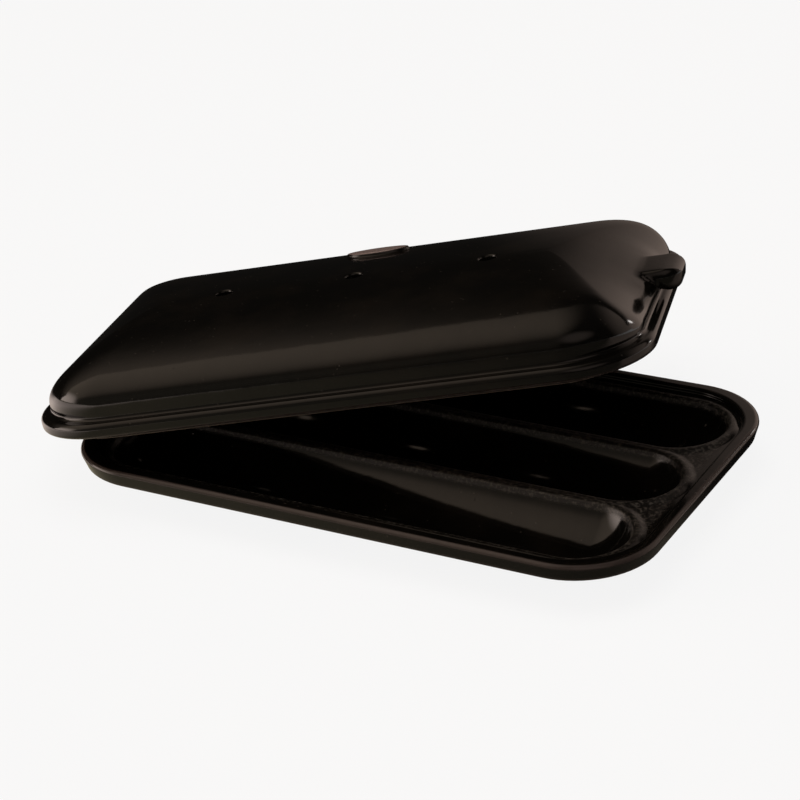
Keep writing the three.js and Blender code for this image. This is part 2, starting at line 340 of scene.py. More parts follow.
def finish_piece(piece, node, body, material):
    """Smooths a piece, gives it its finish and puts it in the place of its CAD node."""
    only(piece)
    bpy.ops.object.shade_smooth_by_angle(angle=SMOOTH_ANGLE)
    even = piece.modifiers.new("even", "WEIGHTED_NORMAL")
    even.keep_sharp = True
    bpy.ops.object.modifier_apply(modifier=even.name)
    piece.data.materials.clear()
    piece.data.materials.append(material)
    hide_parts(node)
    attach(piece, body)


def spread(count, pitch):
    """Even places about a middle, a pitch apart."""
    return [(index - (count - 1) / 2) * pitch for index in range(count)]


class TrayHeights:
    """Heights and radii that follow from the tray's sizes."""

    def __init__(self, outline, tray):
        half = tray.trough_width / 2
        self.radius = (half ** 2 + tray.trough_depth ** 2) / (2 * tray.trough_depth)
        self.floor = outline.wall - tray.foot_trim
        self.axis = self.floor + self.radius
        self.deck = self.floor + tray.trough_depth
        self.rim = self.deck + tray.rim_rise
        self.skirt = self.deck - outline.wall
        self.end = tray.trough_length / 2 - half
        self.lip = self.deck + tray.lip_rise


def tray_dish(outline, tray, heights):
    """The skirt, the rounded rim and the deck, closed above and below."""
    skirt = (tray.rim_taper + tray.skirt_round, heights.skirt)
    skirt_wall = (tray.rim_taper, heights.skirt + tray.skirt_round)
    rim_outer = (0, heights.rim - tray.rim_round)
    rim_outer_top = (tray.rim_round, heights.rim)
    rim_inner_top = (tray.rim_width - tray.rim_round, heights.rim)
    rim_inner = (tray.rim_width, heights.rim - tray.rim_round)
    deck_edge = (tray.rim_width + tray.rim_rise - tray.rim_round, heights.deck)
    stations = [skirt, *quarter(skirt, skirt_wall, True)]
    stations += [rim_outer, *quarter(rim_outer, rim_outer_top, False)]
    stations += [rim_inner_top, *quarter(rim_inner_top, rim_inner, True)]
    stations += quarter(rim_inner, deck_edge, False)
    piece = baker_body("tray_stone", outline, inset_rings(outline.length / 2, outline.width / 2, stations))
    cap(piece, heights.deck)
    cap(piece, heights.skirt)
    close_solid()
    return piece


def trough_body(name, heights, tray, profile):
    """A closed round bowl through stations of radius and height, drawn out along the trough."""
    piece = round_ring(name, *profile[0], tray.round_points)
    first, *others = [(radius, radius, height) for radius, height in profile]
    draw_rings(first, others)
    cap(piece, profile[-1][1])
    cap(piece, profile[0][1])
    select_points(piece, lambda place: place.x > 0)
    bpy.ops.transform.translate(value=(heights.end, 0, 0))
    select_points(piece, lambda place: place.x < 0)
    bpy.ops.transform.translate(value=(-heights.end, 0, 0))
    close_solid()
    return piece


def bowl_arc(axis, radius, angles):
    """Stations of radius and height on a round bottom, at angles from straight down."""
    return [(radius * math.sin(angle), axis - radius * math.cos(angle)) for angle in angles]


def shell_profile(outline, heights):
    """Outside of a trough, from its flat foot up into the deck."""
    radius = heights.radius + outline.wall
    lowest = math.acos(heights.axis / radius)
    highest = math.acos((heights.axis - heights.deck + outline.wall / 2) / radius)
    steps = 18
    angles = [lowest + (highest - lowest) * step / steps for step in range(steps + 1)]
    return bowl_arc(heights.axis, radius, angles)


def hollow_profile(tray, heights):
    """Inside of a trough, from its bottom over its rounded lip."""
    reach = math.sqrt(heights.radius ** 2 - (heights.axis - heights.lip) ** 2)
    steep = math.asin(reach / heights.radius)
    lip_start = heights.lip - tray.lip_round * (1 - math.cos(steep))
    slope = math.acos((heights.axis - lip_start) / heights.radius)
    steps = 24
    angles = [slope * (step + 0.5) / (steps + 0.5) for step in range(steps + 1)]
    profile = bowl_arc(heights.axis, heights.radius, angles)
    lip_radius = profile[-1][0]
    lip_steps = 8
    last_lean = math.radians(6)
    for step in range(1, lip_steps + 1):
        lean = slope + (last_lean - slope) * step / lip_steps
        radius = lip_radius + tray.lip_round * (math.sin(slope) - math.sin(lean))
        profile.append((radius, heights.lip - tray.lip_round * (1 - math.cos(lean))))
    run_out = tray.lip_round / 4
    outer = profile[-1][0] + run_out
    profile.append((outer, profile[-1][1] + run_out * math.tan(last_lean)))
    profile.append((outer, heights.rim))
    return profile


def collar_profile(outline, tray, heights, mouth):
    """Soft slope from the deck up to a trough's lip."""
    steps = 10
    profile = [(mouth + tray.lip_spread, heights.deck - outline.wall / 2)]
    for step in range(steps + 1):
        share = step / steps
        rise = (1 - math.cos(share * math.pi)) / 2
        profile.append((mouth + tray.lip_spread * (1 - share), heights.deck + tray.lip_rise * rise))
    profile.append((mouth - tray.lip_round, heights.lip))
    return profile


def model_tray(outline, tray):
    """The tray as one stone: dish, trough shells and raised lips joined, then the troughs hollowed."""
    heights = TrayHeights(outline, tray)
    piece = tray_dish(outline, tray, heights)
    hollow = hollow_profile(tray, heights)
    bodies = (
        ("trough_shell", shell_profile(outline, heights), "UNION"),
        ("trough_collar", collar_profile(outline, tray, heights, hollow[-1][0]), "UNION"),
        ("trough_hollow", hollow, "DIFFERENCE"),
    )
    for name, profile, operation in bodies:
        pattern = trough_body(name, heights, tray, profile)
        for place in spread(tray.trough_count, tray.trough_pitch):
            combine(piece, copy_at(pattern, (0, place, 0)), operation)
        bpy.data.meshes.remove(pattern.data)
    return piece


class DomeCurve:
    """The dome's outline at each height, with its sides and its ends on their own curves."""

    def __init__(self, outline, lid, inset, top):
        self.outline, self.lid, self.top = outline, lid, top
        self.foot = lid.flange_thickness + lid.flange_fillet
        self.foot_x, self.foot_y = outline.length / 2 - inset, outline.width / 2 - inset

    def halves(self, share):
        """Half length and half width at a share of the way from foot to crest."""
        lid = self.lid
        end_out = (1 - share ** lid.end_rise) ** (1 / lid.end_spread)
        side_out = (1 - share ** lid.side_rise) ** (1 / lid.side_spread)
        half_x = lid.crest_length / 2 + (self.foot_x - lid.crest_length / 2) * end_out
        half_y = lid.crest_flat / 2 + (self.foot_y - lid.crest_flat / 2) * side_out
        return half_x, half_y

    def stations(self):
        """Stations from foot to crest, closer together at both."""
        steps, crowding = 46, 1.2
        shares = [math.sin(step / steps * math.pi / 2) ** crowding for step in range(1, steps + 1)]
        return [(*self.halves(share), self.foot + (self.top - self.foot) * share) for share in shares]

    def tighten_hips(self, piece):
        """Draws the rings' corners tighter towards the crest, so that the hips run up as soft edges."""
        outline, lid = self.outline, self.lid
        for point in piece.data.vertices:
            share = (point.co.z - self.foot) / (self.top - self.foot)
            if share <= 0 or share > 1 + LEVEL_GAP:
                continue
            share = min(share, 1.0)
            half_x, half_y = self.halves(share)
            corner = outline.corner + (lid.crest_corner - outline.corner) * share
            across = min(abs(point.co.x) / half_x, 1.0)
            along = min(abs(point.co.y) / half_y, 1.0)
            across, along = self.reshape(across, along, corner)
            point.co.x = math.copysign(across * half_x, point.co.x)
            point.co.y = math.copysign(along * half_y, point.co.y)

    def reshape(self, across, along, corner):
        """Moves a point of the outline, in shares of its halves, to where another corner radius puts it."""
        half_length, half_width = self.outline.length / 2, self.outline.width / 2
        flat_x, flat_y = 1 - self.outline.corner / half_length, 1 - self.outline.corner / half_width
        new_x, new_y = 1 - corner / half_length, 1 - corner / half_width
        if across > flat_x and along > flat_y:
            across = new_x + (across - flat_x) / (1 - flat_x) * (1 - new_x)
            along = new_y + (along - flat_y) / (1 - flat_y) * (1 - new_y)
        elif along > flat_y:
            across *= new_x / flat_x
        elif across > flat_x:
            along *= new_y / flat_y
        return across, along


def domed_body(name, outline, dome, stations):
    """A piece drawn up through stations and a dome, closed below and along the crest line."""
    rings = inset_rings(outline.length / 2, outline.width / 2, stations) + dome.stations()
    piece = baker_body(name, outline, rings)
    half_x, half_y, height = rings[-1]
    draw_rings(rings[-1], [(half_x - half_y, 0.0, height)])
    cap(piece, rings[0][2])
    close_solid()
    dome.tighten_hips(piece)
    return piece


def lid_outside(outline, lid, lip_inset):
    """Locating lip, bead flange and dome, closed below."""
    bottom = -lid.lip_depth
    lip_bottom = (lip_inset + lid.lip_round, bottom)
    lip_wall = (lip_inset, bottom + lid.lip_round)
    under = (lid.flange_lower_round, 0)
    outer = (0, lid.flange_lower_round)
    shoulder = (0, lid.flange_thickness - lid.flange_upper_round)
    top = (lid.flange_upper_round, lid.flange_thickness)
    fillet = (lid.flange_width - lid.flange_fillet, lid.flange_thickness)
    wall = (lid.flange_width, lid.flange_thickness + lid.flange_fillet)
    stations = [lip_bottom, *quarter(lip_bottom, lip_wall, True), (lip_inset, 0)]
    stations += [under, *quarter(under, outer, True)]
    stations += [shoulder, *quarter(shoulder, top, False)]
    stations += [fillet, *quarter(fillet, wall, True)]
    dome = DomeCurve(outline, lid, lid.flange_width, lid.height)
    return domed_body("lid_stone", outline, dome, stations)


def lid_hollow(outline, lid, inset):
    """The space under the lid."""
    below = -lid.lip_depth - lid.lip_width
    dome = DomeCurve(outline, lid, inset, lid.height - outline.wall)
    return domed_body("lid_hollow", outline, dome, [(inset, below), (inset, lid.flange_thickness)])


def place_piece(piece, matrix):
    """Moves a piece and puts its place into its mesh."""
    only(piece)
    piece.matrix_world = matrix
    bpy.ops.object.transform_apply(location=True, rotation=True, scale=True)


def lug_axis(outline, lid, past_edge):
    """Point on the lug's middle line, at a distance past the flange's edge."""
    return Vector((outline.length / 2 + past_edge, 0, lid.lug_level - past_edge * math.tan(lid.lug_droop)))


def smooth(share):
    """A share from 0 to 1 that starts and ends gently."""
    return share * share * (3 - 2 * share)


def rounding(share):
    """How far a quarter circle has turned away at a share of its run."""
    return 1 - math.sqrt(1 - min(1, share) ** 2)


def lug(outline, lid):
    """A tab that thickens out of the end slope and rounds off at its tip, with a finger hollow under it."""
    root = lid.lug_reach + lid.lug_root
    half_high, half_wide = lid.lug_height / 2, lid.lug_width / 2
    side_turn, side_loss = 0.015, 0.011
    tip_turn, tip_loss = 0.007, 0.0045
    grow_start, grow_spare, root_share = 0.012, 0.020, 0.5
    corner_share, corner_steps, edge_gap, steps = 0.9, 10, 0.002, 30
    rings = []
    for step in range(steps + 1):
        along = root * math.sin(step / steps * math.pi / 2)
        side = max(0, (along - root + side_turn) / side_turn)
        tip = max(0, (along - root + tip_turn) / tip_turn)
        grown = min(1, max(0, (along - grow_start) / (root - grow_spare)))
        high = half_high - tip_loss * rounding(tip)
        high *= root_share + (1 - root_share) * smooth(grown)
        rings.append((high, half_wide - side_loss * rounding(side), along))
    first_high, first_wide, first_along = rings[0]
    corner = first_high * corner_share
    piece = rounded_ring("lug", (first_high, first_wide), first_along, corner, corner_steps, edge_gap)
    draw_solid(piece, rings)
    lie = Matrix.Rotation(math.pi / 2 + lid.lug_droop, 4, "Y")
    place_piece(piece, Matrix.Translation(lug_axis(outline, lid, -lid.lug_root)) @ lie)
    combine(piece, lug_hollow(outline, lid), "DIFFERENCE")
    return piece


def swell_lug_root(piece, lid):
    """Fills out the end slope where the lug grows from it."""
    foot_run, crest_margin = 0.011, 0.004
    start = lid.crest_length / 2
    low, high = lid.flange_thickness, lid.height - crest_margin
    for point in piece.data.vertices:
        x, y, z = point.co
        if x < start or z <= low or z >= high or abs(y) >= lid.swell_reach:
            continue
        rise = min(1, (z - low) / foot_run)
        fall = min(1, (high - z) / (high - lid.lug_level))
        point.co.x += lid.swell * smooth(rise) * smooth(fall) * (1 - (y / lid.swell_reach) ** 2) ** 2


def soften_lug_root(piece, outline, lid):
    """Melts the lug's root into the end slope, as thick glaze does."""
    past_edge, beside, low, high, passes = 0.001, 0.008, 0.015, 0.040, 14
    near, far = outline.length / 2 - lid.lug_root, outline.length / 2 + past_edge
    reach = lid.lug_width / 2 + beside
    only(piece)
    bpy.ops.object.mode_set(mode="EDIT")
    bpy.ops.mesh.select_mode(type="VERT")
    select_points(piece, lambda place: near < place.x < far and abs(place.y) < reach and low < place.z < high)
    bpy.ops.mesh.vertices_smooth(factor=0.5, repeat=passes)
    bpy.ops.object.mode_set(mode="OBJECT")


def lug_hollow(outline, lid):
    """The finger hollow under the lug, open below and rounded at its ceiling."""
    half_x, half_y = 0.0115, lid.lug_width / 2 - lid.lug_wall
    below, ceiling = -lid.lug_height, lid.lug_height / 2 - lid.lug_wall
    turn_in, corner_share, corner_steps = 0.004, 0.8, 10
    edge, top = (0, ceiling - turn_in), (turn_in, ceiling)
    stations = [(0, below), edge, *quarter(edge, top, False)]
    piece = rounded_ring("lug_hollow", (half_x, half_y), below, half_x * corner_share, corner_steps)
    draw_solid(piece, inset_rings(half_x, half_y, stations))
    middle = lug_axis(outline, lid, lid.lug_reach - half_x - lid.lug_wall)
    place_piece(piece, Matrix.Translation(middle) @ Matrix.Rotation(lid.lug_droop, 4, "Y"))
    return piece


def vent_cutter(lid):
    """A steam vent with a rounded mouth, cut straight down through the crest."""
    depth, above, points = 0.02, 0.004, 40
    radius, low = lid.vent_width / 2, lid.height - depth
    start, end = (0, lid.height - lid.vent_flare), (-lid.vent_flare, lid.height)
    stations = [(0, low), start, *quarter(start, end, False), (-lid.vent_flare, lid.height + above)]
    piece = round_ring("vent", radius, low, points)
    draw_solid(piece, inset_rings(radius, radius, stations))
    return piece


def dome_height(outline, lid, behind):
    """Height of the dome's outside at a distance behind the crest, at the lid's middle."""
    foot = lid.flange_thickness + lid.flange_fillet
    half = lid.crest_flat / 2
    out = (behind - half) / (outline.width / 2 - lid.flange_width - half)
    return foot + (lid.height - foot) * (1 - out ** lid.side_spread) ** (1 / lid.side_rise)


def pad_ends(outline, lid):
    """Heights of the slope under the pad's front and back."""
    half = lid.pad_width / 2
    return dome_height(outline, lid, lid.pad_place - half), dome_height(outline, lid, lid.pad_place + half)


def slope_pad(outline, lid):
    """A plain oval pad that rises from the back slope with a soft foot and a rounded edge."""
    front, back = pad_ends(outline, lid)
    soft, low, points = 0.0012, -outline.wall / 2, 64
    foot, side, top = (-soft, 0), (0, soft), (lid.pad_rise - soft, lid.pad_rise)
    stations = [(-soft, low), foot, *quarter(foot, side, True), *quarter(side, top, False)]
    rings = inset_rings(lid.pad_length / 2, lid.pad_width / 2, stations)
    piece = round_ring("pad", 1, low, points)
    bpy.ops.transform.resize(value=(rings[0][0], rings[0][1], 1), center_override=(0, 0, low))
    draw_solid(piece, rings)
    lean = Matrix.Rotation(math.atan2(back - front, lid.pad_width), 4, "X")
    place_piece(piece, Matrix.Translation((0, lid.pad_place, (front + back) / 2)) @ lean)
    return piece


def lid_lie(lid):
    """How the lid lies over the tray."""
    yaw = Matrix.Rotation(lid.yaw, 4, "Z")
    tilt = Matrix.Rotation(-lid.tilt, 4, "Y")
    roll = Matrix.Rotation(-lid.roll, 4, "X")
    return Matrix.Translation(lid.place) @ (yaw @ tilt @ roll)


def model_lid(outline, tray, lid):
    """The lid as one stone, in its own frame with its seat at z = 0, then laid over the tray."""
    lip_inset = tray.rim_width + lid.lip_clearance
    piece = lid_outside(outline, lid, lip_inset)
    swell_lug_root(piece, lid)
    combine(piece, lug(outline, lid), "UNION")
    soften_lug_root(piece, outline, lid)
    combine(piece, slope_pad(outline, lid), "UNION")
    combine(piece, lid_hollow(outline, lid, lip_inset + lid.lip_width), "DIFFERENCE")
    pattern = vent_cutter(lid)
    for place in spread(lid.vent_count, lid.vent_pitch):
        combine(piece, copy_at(pattern, (place, 0, 0)), "DIFFERENCE")
    bpy.data.meshes.remove(pattern.data)
    place_piece(piece, lid_lie(lid))
    return piece


class Signal:
    """One output of a shader node, with the arithmetic that the finishes use."""

    def __init__(self, finish, socket):
        self.finish, self.socket = finish, socket

    def join(self, operation, *values):
        """A Math node that works on this signal and others."""
        return self.finish.node("Math", dict(enumerate((self, *values))), operation=operation)

    def __add__(self, other):
        return self.join("ADD", other)

    __radd__ = __add__

    def __mul__(self, other):
        return self.join("MULTIPLY", other)

    __rmul__ = __mul__

    def __sub__(self, other):
        return self.join("SUBTRACT", other)

    def __rsub__(self, other):
        return (self * -1.0) + other

    def __truediv__(self, other):
        return self.join("DIVIDE", other)

    def ramp(self, low, high):
        """0 below the low value, 1 above the high one, smooth between."""
        inputs = {"Value": self, "From Min": low, "From Max": high}
        return self.finish.node("MapRange", inputs, interpolation_type="SMOOTHSTEP")

    def most(self, other):
        """The larger of two values."""
        return self.join("MAXIMUM", other)

    def least(self, other):
        """The smaller of two values."""
        return self.join("MINIMUM", other)

    def size(self):
        """The value without its sign."""
        return self.join("ABSOLUTE")

    def diagonal(self, other):
        """Length of the diagonal over two distances."""
        return (self * self + other * other).join("SQRT")


# Sockets of a Mix node for colours
MIX_FIRST, MIX_SECOND, MIX_RESULT = 6, 7, 2


class Finish:
    """The nodes of a material or of the world, under construction."""

    def __init__(self, owner, output):
        owner.use_nodes = True
        self.owner, self.tree = owner, owner.node_tree
        self.tree.nodes.clear()
        self.output = self.tree.nodes.new("ShaderNode" + output)

    def node(self, kind, inputs=None, output=0, **settings):
        """Adds a node, sets it up, fills or links its sockets and returns one of its outputs."""
        node = self.tree.nodes.new("ShaderNode" + kind)
        for key, value in settings.items():
            setattr(node, key, value)
        for key, value in (inputs or {}).items():
            if isinstance(value, Signal):
                self.tree.links.new(value.socket, node.inputs[key])
            else:
                node.inputs[key].default_value = value
        return Signal(self, node.outputs[output])

    def place(self):
        """Where a point lies on its object, in metres."""
        return self.node("TexCoord", output="Object")

    def parts(self, vector):
        """The three numbers of a vector."""
        split = self.node("SeparateXYZ", {"Vector": vector})
        return [Signal(self, socket) for socket in split.socket.node.outputs]

    def mix(self, share, first, second):
        """A colour between two, by a share."""
        inputs = {"Factor": share}
        for socket, colour in ((MIX_FIRST, first), (MIX_SECOND, second)):
            inputs[socket] = colour if isinstance(colour, Signal) else (*colour, 1.0)
        return self.node("Mix", inputs, MIX_RESULT, data_type="RGBA")

    def noise(self, place, scale, detail=2.0, roughness=0.5):
        """Soft cloudy values about 0.5."""
        inputs = {"Vector": place, "Scale": scale, "Detail": detail, "Roughness": roughness}
        return self.node("TexNoise", inputs)

    def dots(self, place, scale, edge, cloud_scale, cloud_edge):
        """Scattered round dots, kept only where a cloud is thick."""
        inputs = {"Vector": place, "Scale": scale, "Randomness": 1.0}
        dot = 1 - self.node("TexVoronoi", inputs).ramp(*edge)
        return dot * self.noise(place, cloud_scale, 1.0).ramp(*cloud_edge)

    def glow(self, colour):
        """Light of a colour, at strength 1."""
        return self.node("Emission", {"Color": colour, "Strength": 1.0})

    def close(self, shader):
        """Links a shader to the output."""
        self.tree.links.new(shader.socket, self.output.inputs["Surface"])
        return self.owner


def new_finish(name):
    """The finish of a new material."""
    return Finish(bpy.data.materials.new(name), "OutputMaterial")


def inset_from_edge(x, y, outline):
    """How far a point lies inside the baker's outline, seen from above."""
    over_x = x.size() - (outline.length / 2 - outline.corner)
    over_y = y.size() - (outline.width / 2 - outline.corner)
    round_part = over_x.most(0.0).diagonal(over_y.most(0.0))
    straight_part = over_x.most(over_y).least(0.0)
    return outline.corner - round_part - straight_part


# Clouds in the glaze: cells to the metre, detail, roughness
CLOUDS = (22.0, 3.0, 0.55)
RIPPLE = (38.0, 2.0, 0.45)
PATCHES = (60.0, 3.0)
PAD_CLOUDS = (160.0, 3.0)
PEEL = (330.0, 2.0, 0.5)
GRIT = (480.0, 3.0, 0.7)
FINE = (900.0, 2.0, 0.6)
GRAINS = (1500.0, 2.0)
# Dots in the glaze: cells to the metre and edge, then the same of the clouds that keep them
SPECKS = (260.0, (0.06, 0.16), 130.0, (0.56, 0.66))
PITS = (95.0, (0.03, 0.10), 45.0, (0.50, 0.60))
# Where brown glaze and grit begin and are full, and how strong they and the specks are
BROWN_EDGE, GRIT_EDGE = (0.42, 0.72), (0.47, 0.64)
BROWN_SHARE, GRIT_SHARE, SPECK_SHARE = 0.75, 0.75, 0.55
# Least strength of the thin glaze and of the pad's pale colour, and how much of it clouds add; shade of the
# darker clay
THIN_LEAST, THIN_VARIES = 0.55, 0.9
PALE_LEAST, PALE_VARIES = 0.7, 0.6
CLAY_SHADE = 0.8
# Roughness of the glaze, and what each mark adds to it
GLOSS, CLOUD_ROUGH, PIT_ROUGH, THIN_ROUGH = 0.07, 0.07, 0.10, 0.06
MATT_ROUGH, MATT_VARIES, CLAY_ROUGH = 0.16, 0.22, 0.6
# Relief of each mark in metres, and how much of it shows
RIPPLE_RISE, PEEL_RISE, PIT_DEPTH = 0.0004, 0.000035, 0.00025
SPECK_RISE, MATT_RISE, GRAIN_RISE = 0.00003, 0.00012, 0.0001
RELIEF_SHARE = 0.55
# How strongly the glaze mirrors
MIRROR_LEVEL, REFRACTION = 0.44, 1.5


def glaze_finish(name, colours, outline, lie, thin_edge, bare_clay, matt, pale=None):
    """Dark glossy glaze: brown where it thins, broken on edges, with specks, pinholes and a faint ripple."""
    finish = new_finish(name)
    undo = lie.inverted()
    moved = {"Vector": finish.place(), "Location": undo.translation, "Rotation": undo.to_euler("XYZ")}
    own = finish.node("Mapping", moved, vector_type="POINT")
    x, y, z = finish.parts(own)
    inset = inset_from_edge(x, y, outline)

    clouds, fine, grains = [finish.noise(own, *marks) for marks in (CLOUDS, FINE, GRAINS)]
    speck, pits = finish.dots(own, *SPECKS), finish.dots(own, *PITS)
    thin = thin_edge(inset, z) * (THIN_LEAST + THIN_VARIES * finish.noise(own, *PATCHES))
    bare, dull = bare_clay(z), matt(inset, z)

    colour = finish.mix(clouds.ramp(*BROWN_EDGE) * BROWN_SHARE, colours.glaze, colours.brown)
    colour = finish.mix(thin.least(1.0), colour, colours.thin)
    colour = finish.mix(speck * SPECK_SHARE, colour, colours.speck)
    grit = finish.noise(own, *GRIT).ramp(*GRIT_EDGE)
    colour = finish.mix(dull * grit * GRIT_SHARE, colour, colours.speck)
    # The pad is painted a pale colour here
    if pale:
        cover = (PALE_LEAST + PALE_VARIES * finish.noise(own, *PAD_CLOUDS)).least(1.0)
        colour = finish.mix(pale(x, y, z) * cover, colour, colours.pale)
    clay = finish.mix(grains, [part * CLAY_SHADE for part in colours.clay], colours.clay)
    colour = finish.mix(bare, colour, clay)

    rough = GLOSS + CLOUD_ROUGH * clouds + PIT_ROUGH * pits + THIN_ROUGH * thin
    rough = rough + dull * (MATT_ROUGH + MATT_VARIES * fine) + bare * CLAY_ROUGH
    relief = finish.noise(own, *RIPPLE) * RIPPLE_RISE + finish.noise(own, *PEEL) * PEEL_RISE
    relief = relief - pits * PIT_DEPTH + speck * SPECK_RISE
    relief = relief + dull * fine * MATT_RISE + bare * grains * GRAIN_RISE
    bump = finish.node("Bump", {"Strength": RELIEF_SHARE, "Distance": 1.0, "Height": relief})
    inputs = {
        "Base Color": colour,
        "Roughness": rough.least(1.0),
        "Specular IOR Level": MIRROR_LEVEL,
        "IOR": REFRACTION,
        "Normal": bump,
    }
    return finish.close(finish.node("BsdfPrincipled", inputs))


def tray_glaze(colours, outline, tray):
    """Tray's finish: thin on the rim's edges, matter on the deck and bare on its feet."""
    heights = TrayHeights(outline, tray)
    rim_line, rim_fade = 0.001, (0.0006, 0.0022)
    rim_level = (heights.rim - 0.003, heights.rim - 0.0012)
    skirt_level, skirt_inset = (heights.skirt + 0.0005, heights.skirt + 0.003), (0.004, 0.008)
    foot_level = (0.0002, 0.0006)
    deck_level, deck_inset = (heights.deck - 0.004, heights.deck - 0.001), (0.012, 0.018)

    def thin_edge(inset, z):
        rim = (1 - (inset - rim_line).size().ramp(*rim_fade)) * z.ramp(*rim_level)
        return rim.most((1 - z.ramp(*skirt_level)) * (1 - inset.ramp(*skirt_inset)))

    def bare_clay(z):
        return 1 - z.ramp(*foot_level)

    def matt(inset, z):
        return inset.ramp(*deck_inset) * z.ramp(*deck_level)

    return glaze_finish("tray_glaze_stone", colours, outline, Matrix.Identity(4), thin_edge, bare_clay, matt)


def lid_glaze(colours, outline, lid):
    """Lid's finish: thin on the bead's lower edge, partly bare on the locating lip and pale on the pad."""
    bead_level, bead_inset = (0.0008, 0.0026), (0.016, 0.019)
    lip_level, lip_share = (0.0002 - lid.lip_depth, 0.0005 - lid.lip_depth), 0.6
    inner_level, inner_inset, inner_share = (0.004, 0.010), (0.013, 0.015), 0.5
    front, back = pad_ends(outline, lid)
    pad_top, pad_slope = (front + back) / 2 + lid.pad_rise, (back - front) / lid.pad_width
    pad_level, pad_edge = (pad_top - 0.0014, pad_top - 0.0006), (0.80, 0.94)

    def thin_edge(inset, z):
        return (1 - z.ramp(*bead_level)) * (1 - inset.ramp(*bead_inset))

    def bare_clay(z):
        return (1 - z.ramp(*lip_level)) * lip_share

    def matt(inset, z):
        return inset.ramp(*inner_inset) * (1 - z.ramp(*inner_level)) * inner_share

    # Where the pad is painted pale: its top, inside the oval
    def pale(x, y, z):
        behind = y - lid.pad_place
        out_x, out_y = x / (lid.pad_length / 2), behind / (lid.pad_width / 2)
        level = z - behind * pad_slope
        return (1 - (out_x * out_x + out_y * out_y).ramp(*pad_edge)) * level.ramp(*pad_level)

    return glaze_finish("lid_glaze_stone", colours, outline, lid_lie(lid), thin_edge, bare_clay, matt, pale)


def studio_floor(studio):
    """A wide round floor, nearly white to the eye and in reflections, that keeps the baker's shadow."""
    points, mottle_scale, mottle_shade, white_share = 96, 3.0, 0.985, 0.88
    shape = {"vertices": points, "radius": studio.floor_reach, "fill_type": "NGON"}
    floor = add(bpy.ops.mesh.primitive_circle_add, "studio_floor", **shape)
    finish = new_finish("studio_floor_paint")
    rays = finish.node("LightPath").socket.node.outputs
    kinds = ("Is Camera Ray", "Is Glossy Ray", "Is Transmission Ray")
    camera, glossy, through = [Signal(finish, rays[kind]) for kind in kinds]
    seen = camera.most(glossy).most(through)
    mottle = finish.noise(finish.place(), mottle_scale)
    paint = finish.mix(mottle, [part * mottle_shade for part in studio.floor], studio.floor)
    inputs = {"Base Color": paint, "Roughness": 0.9, "Specular IOR Level": 0.1}
    matt = finish.node("BsdfPrincipled", inputs)
    inputs = {0: seen * white_share, 1: matt, 2: finish.glow((1, 1, 1, 1))}
    floor.data.materials.append(finish.close(finish.node("MixShader", inputs)))


def bearing(azimuth, elevation):
    """Direction out from the object, with the azimuth from the front and both angles in degrees."""
    turned, rise = math.radians(azimuth), math.radians(elevation)
    return Vector((math.sin(turned) * math.cos(rise), -math.cos(turned) * math.cos(rise), math.sin(rise)))


# Soft glows round the room: azimuth, elevation, full to this angle, none past this one, colour
GLOWS = (
    (-80, 32, 6, 62, (0.80, 0.64, 0.50)),
    (-66, 4, 7, 33, (3.8, 3.15, 2.8)),
    (-18, 15, 5, 30, (0.17, 0.15, 0.12)),
    (34, 44, 6, 34, (0.36, 0.29, 0.25)),
    (152, 6, 18, 56, (0.50, 0.39, 0.33)),
)
ROOM = (0.022, 0.020, 0.018)


def studio_world():
    """A dim room with soft glows in it, where its lamps stand."""
    world = bpy.data.worlds.new("studio_room")
    bpy.context.scene.world = world
    finish = Finish(world, "OutputWorld")
    direction = finish.node("TexCoord", output="Generated")
    colour = ROOM
    for azimuth, elevation, inner, outer, light in GLOWS:
        sides = {0: direction, 1: bearing(azimuth, elevation)}
        facing = finish.node("VectorMath", sides, "Value", operation="DOT_PRODUCT")
        share = facing.ramp(math.cos(math.radians(outer)), math.cos(math.radians(inner)))
        colour = finish.mix(share, colour, light)
    finish.close(finish.node("Background", {"Color": colour, "Strength": 1.0}))


def reflection_card(name, lie, width, height):
    """A card that only the glaze reflects, with its finish and its own two directions to paint it by."""
    card = add(bpy.ops.mesh.primitive_plane_add, name, size=1)
    card.matrix_world = lie @ Matrix.Diagonal((width, height, 1, 1))
    bpy.ops.object.transform_apply(location=False, rotation=False, scale=True)
    for ray in ("camera", "diffuse", "shadow", "transmission", "volume_scatter"):
        setattr(card, "visible_" + ray, False)
    finish = new_finish(name + "_paper")
    card.data.materials.append(finish.owner)
    across, up, _ = finish.parts(finish.place())
    return finish, across, up


# Light of the card behind, and of the one below
CARD_DARK, CARD_FAINT = (0.008, 0.0075, 0.007), (0.34, 0.27, 0.215)
CARD_WARM, CARD_SPOT = (0.68, 0.53, 0.45), (9.0, 8.6, 8.2)
TABLE_LEFT, TABLE_RIGHT, TABLE_BRIGHT = (0.46, 0.40, 0.28), (0.10, 0.088, 0.070), (2.0, 1.66, 1.5)
TABLE_DARK, TABLE_WARM = (0.010, 0.009, 0.008), (0.44, 0.345, 0.29)


